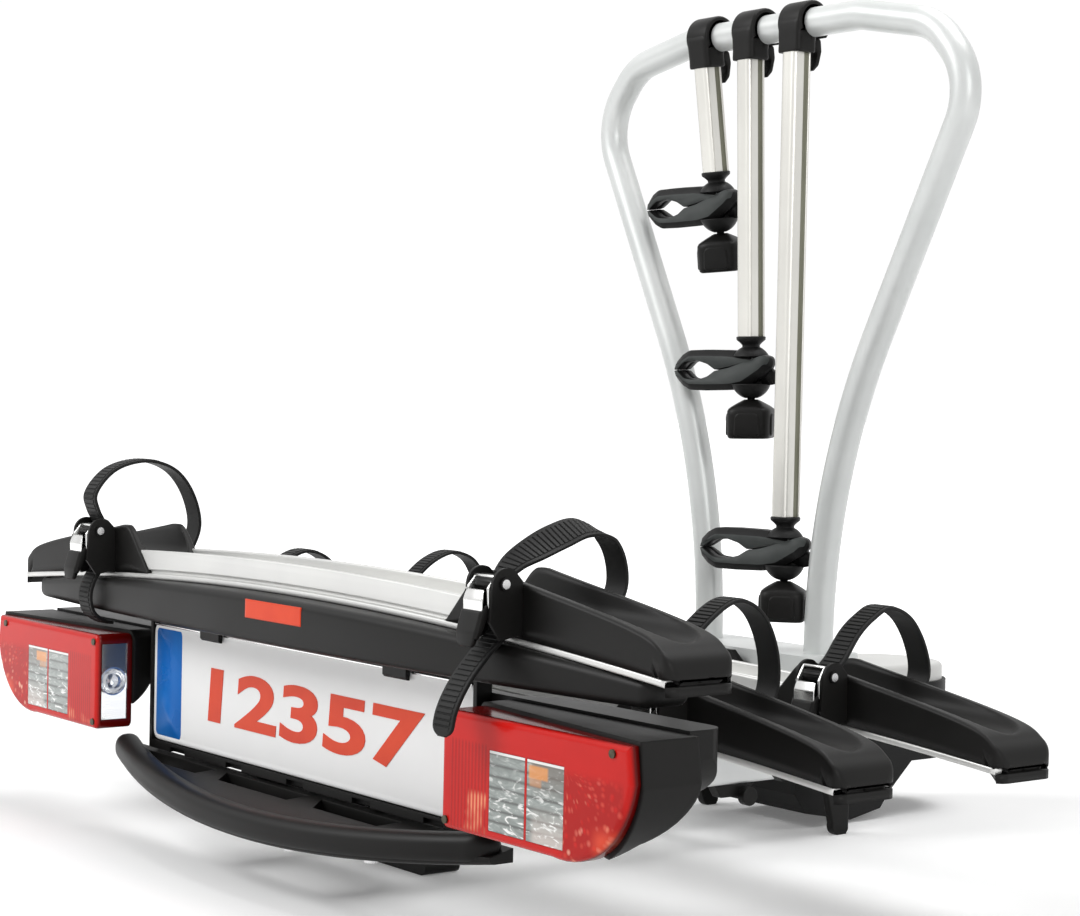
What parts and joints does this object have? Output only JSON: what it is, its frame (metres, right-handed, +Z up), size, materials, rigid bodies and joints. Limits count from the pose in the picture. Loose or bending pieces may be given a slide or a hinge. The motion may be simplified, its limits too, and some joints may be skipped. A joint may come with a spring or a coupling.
{
  "type": "hitch bike rack",
  "caption": "Towball-mounted platform bike carrier with crowned wheel trays, strap buckles, a folding arch with clamp arms, rear lamps, plate and a foot pedal for tilting.",
  "frame": {"origin": "centre of the towball that the coupling's socket sits on", "axes": "+X across the carrier, +Y forwards to the car, +Z up out of the socket's closed end"},
  "size_m": [1.024, 0.8721, 0.821],
  "materials": {
    "raw_aluminium": "mill",
    "tray_aluminium": "satin anodised",
    "anodised_bar": "satin anodised",
    "silver_paint": "satin powder coat",
    "black_metal": "satin",
    "cast_black": "matt coat on cast metal",
    "bright_steel": "zinc plated",
    "bright_lever": "polished",
    "mirror_metal": "mirror",
    "black_plastic": "satin",
    "pale_plastic": "satin",
    "plate_white": "gloss, plain digits",
    "red_lens": "clear red",
    "clear_lens": "clear, ribbed",
    "amber_bulb": "clear amber",
    "strap_rubber": "toothed strap",
    "grip_rubber": "soft grip over a hard core"
  },
  "bodies": {
    "platform": {"side_rails": "raw_aluminium", "cross_members": "raw_aluminium", "rear_uprights": "black_metal", "tray_mounts": "black_plastic", "rear_tray": "tray_aluminium", "middle_tray": "tray_aluminium", "front_tray": "tray_aluminium", "wheel_cups": "black_plastic", "wheel_straps": "strap_rubber", "buckle_frames": "black_plastic", "rear_beam": "black_plastic", "lamp_bar": "black_plastic", "plate_holder": "black_plastic", "number_plate": "plate_white", "lamp_lenses": "red_lens", "lamp_housings": "black_plastic", "lamp_windows": "clear_lens", "lamp_reflectors": "mirror_metal", "lamp_bulbs": "amber_bulb", "lens_screws": "bright_steel", "arch_ears": "black_metal", "pivot_pins": "bright_steel", "stand_feet": "black_plastic"},
    "buckle_lever_rear_left": {"buckle_lever_rear_left": "bright_lever"},
    "buckle_lever_rear_right": {"buckle_lever_rear_right": "bright_lever"},
    "buckle_lever_middle_left": {"buckle_lever_middle_left": "bright_lever"},
    "buckle_lever_middle_right": {"buckle_lever_middle_right": "bright_lever"},
    "buckle_lever_front_left": {"buckle_lever_front_left": "bright_lever"},
    "buckle_lever_front_right": {"buckle_lever_front_right": "bright_lever"},
    "foot_pedal": {"foot_pedal": "black_plastic", "pedal_screws": "bright_steel"},
    "release_rod": {"release_rod": "bright_steel"},
    "tilt_latch": {"tilt_latch": "black_metal"},
    "coupling": {"coupling_housing": "cast_black", "coupling_cover": "pale_plastic"},
    "clamp_shoe": {"clamp_shoe": "cast_black"},
    "arch": {"arch_tube": "silver_paint", "arch_base": "silver_paint"},
    "arch_latch": {"arch_latch": "black_plastic"},
    "frame_arm_short": {"arm_bar_short": "anodised_bar", "arm_hook_short": "black_plastic", "ball_stud_short": "black_metal"},
    "hook_lever_short": {"hook_lever_short": "black_plastic"},
    "upper_claw_short": {"upper_jaw_short": "grip_rubber"},
    "lower_claw_short": {"lower_jaw_short": "grip_rubber"},
    "clamp_knob_short": {"clamp_knob_short": "black_plastic"},
    "frame_arm_middle": {"arm_bar_middle": "anodised_bar", "arm_hook_middle": "black_plastic", "ball_stud_middle": "black_metal"},
    "hook_lever_middle": {"hook_lever_middle": "black_plastic"},
    "upper_claw_middle": {"upper_jaw_middle": "grip_rubber"},
    "lower_claw_middle": {"lower_jaw_middle": "grip_rubber"},
    "clamp_knob_middle": {"clamp_knob_middle": "black_plastic"},
    "frame_arm_long": {"arm_bar_long": "anodised_bar", "arm_hook_long": "black_plastic", "ball_stud_long": "black_metal"},
    "hook_lever_long": {"hook_lever_long": "black_plastic"},
    "upper_claw_long": {"upper_jaw_long": "grip_rubber"},
    "lower_claw_long": {"lower_jaw_long": "grip_rubber"},
    "clamp_knob_long": {"clamp_knob_long": "black_plastic"}
  },
  "joints": [
    {"name": "buckle_lever_rear_left_hinge", "type": "hinge", "parent": "platform", "child": "buckle_lever_rear_left", "pos_m": [-0.326, -0.767, 0.20833], "axis": [1, 0, 0], "range_deg": [-75, 0]},
    {"name": "buckle_lever_rear_right_hinge", "type": "hinge", "parent": "platform", "child": "buckle_lever_rear_right", "pos_m": [0.326, -0.767, 0.20833], "axis": [1, 0, 0], "range_deg": [-75, 0]},
    {"name": "buckle_lever_middle_left_hinge", "type": "hinge", "parent": "platform", "child": "buckle_lever_middle_left", "pos_m": [-0.326, -0.602, 0.11933], "axis": [1, 0, 0], "range_deg": [-75, 0]},
    {"name": "buckle_lever_middle_right_hinge", "type": "hinge", "parent": "platform", "child": "buckle_lever_middle_right", "pos_m": [0.326, -0.602, 0.11933], "axis": [1, 0, 0], "range_deg": [-75, 0]},
    {"name": "buckle_lever_front_left_hinge", "type": "hinge", "parent": "platform", "child": "buckle_lever_front_left", "pos_m": [-0.326, -0.425, 0.11933], "axis": [1, 0, 0], "range_deg": [-75, 0]},
    {"name": "buckle_lever_front_right_hinge", "type": "hinge", "parent": "platform", "child": "buckle_lever_front_right", "pos_m": [0.326, -0.425, 0.11933], "axis": [1, 0, 0], "range_deg": [-75, 0]},
    {"name": "pedal_hinge", "type": "hinge", "parent": "platform", "child": "foot_pedal", "pos_m": [0, -0.662, 0], "axis": [1, 0, 0], "range_deg": [0, 12], "stiffness_Nm_per_rad": 12, "springref_deg": -14.32},
    {"name": "rod_slide", "type": "slide", "parent": "platform", "child": "release_rod", "axis": [0, -1, 0], "range_m": [0, 0.0055]},
    {"name": "latch_hinge", "type": "hinge", "parent": "platform", "child": "tilt_latch", "pos_m": [0, -0.245, 0.004], "axis": [1, 0, 0], "range_deg": [0, 16]},
    {"name": "tilt_hinge", "type": "hinge", "parent": "platform", "child": "coupling", "pos_m": [0, -0.157, 0.01], "axis": [1, 0, 0], "range_deg": [-40, 0]},
    {"name": "shoe_hinge", "type": "hinge", "parent": "coupling", "child": "clamp_shoe", "pos_m": [0, -0.046, 0.009], "axis": [1, 0, 0], "range_deg": [-8, 0]},
    {"name": "arch_fold", "type": "hinge", "parent": "platform", "child": "arch", "pos_m": [0, -0.184, 0.082], "axis": [1, 0, 0], "range_deg": [0, 72]},
    {"name": "arch_latch_hinge", "type": "hinge", "parent": "arch", "child": "arch_latch", "pos_m": [0, -0.2275, 0.078], "axis": [1, 0, 0], "range_deg": [0, 20], "stiffness_Nm_per_rad": 0.6, "springref_deg": -11.46},
    {"name": "arm_hinge_short", "type": "hinge", "parent": "arch", "child": "frame_arm_short", "pos_m": [-0.098, -0.184, 0.721], "axis": [1, 0, 0], "range_deg": [-150, 0]},
    {"name": "hook_lever_hinge_short", "type": "hinge", "parent": "frame_arm_short", "child": "hook_lever_short", "pos_m": [-0.098, -0.16862, 0.70498], "axis": [1, 0, 0], "range_deg": [0, 60]},
    {"name": "claw_swivel_short", "type": "hinge", "parent": "frame_arm_short", "child": "upper_claw_short", "pos_m": [-0.098, -0.16911, 0.55041], "axis": [0, 0.1392, -0.9903], "range_deg": [-100, 60]},
    {"name": "jaw_slide_short", "type": "slide", "parent": "upper_claw_short", "child": "lower_claw_short", "axis": [0, 0.1392, -0.9903], "range_m": [0, 0.012]},
    {"name": "knob_turn_short", "type": "hinge", "parent": "lower_claw_short", "child": "clamp_knob_short", "pos_m": [-0.098, -0.16911, 0.55041], "axis": [0, 0.1392, -0.9903], "range_deg": [0, 1080]},
    {"name": "arm_hinge_middle", "type": "hinge", "parent": "arch", "child": "frame_arm_middle", "pos_m": [-0.029, -0.184, 0.721], "axis": [1, 0, 0], "range_deg": [-150, 0]},
    {"name": "hook_lever_hinge_middle", "type": "hinge", "parent": "frame_arm_middle", "child": "hook_lever_middle", "pos_m": [-0.029, -0.17038, 0.70347], "axis": [1, 0, 0], "range_deg": [0, 60]},
    {"name": "claw_swivel_middle", "type": "hinge", "parent": "frame_arm_middle", "child": "upper_claw_middle", "pos_m": [-0.029, -0.18102, 0.37789], "axis": [0, 0.0349, -0.9994], "range_deg": [-95, 0]},
    {"name": "jaw_slide_middle", "type": "slide", "parent": "upper_claw_middle", "child": "lower_claw_middle", "axis": [0, 0.0349, -0.9994], "range_m": [0, 0.012]},
    {"name": "knob_turn_middle", "type": "hinge", "parent": "lower_claw_middle", "child": "clamp_knob_middle", "pos_m": [-0.029, -0.18102, 0.37789], "axis": [0, 0.0349, -0.9994], "range_deg": [0, 1080]},
    {"name": "arm_hinge_long", "type": "hinge", "parent": "arch", "child": "frame_arm_long", "pos_m": [0.039, -0.184, 0.721], "axis": [1, 0, 0], "range_deg": [-150, 0]},
    {"name": "hook_lever_hinge_long", "type": "hinge", "parent": "frame_arm_long", "child": "hook_lever_long", "pos_m": [0.039, -0.171, 0.703], "axis": [1, 0, 0], "range_deg": [0, 60]},
    {"name": "claw_swivel_long", "type": "hinge", "parent": "frame_arm_long", "child": "upper_claw_long", "pos_m": [0.039, -0.193, 0.198], "axis": [0, 0, -1], "range_deg": [-95, 0]},
    {"name": "jaw_slide_long", "type": "slide", "parent": "upper_claw_long", "child": "lower_claw_long", "axis": [0, 0, -1], "range_m": [0, 0.012]},
    {"name": "knob_turn_long", "type": "hinge", "parent": "lower_claw_long", "child": "clamp_knob_long", "pos_m": [0.039, -0.193, 0.198], "axis": [0, 0, -1], "range_deg": [0, 1080]}
  ],
  "couplings": [
    {"joint": "rod_slide", "follows": "pedal_hinge", "m_per_rad": 0.0259},
    {"joint": "latch_hinge", "follows": "pedal_hinge", "ratio": 1.188},
    {"joint": "knob_turn_short", "follows": "jaw_slide_short", "rad_per_m": 1569.2},
    {"joint": "knob_turn_middle", "follows": "jaw_slide_middle", "rad_per_m": 1569.2},
    {"joint": "knob_turn_long", "follows": "jaw_slide_long", "rad_per_m": 1569.2}
  ]
}
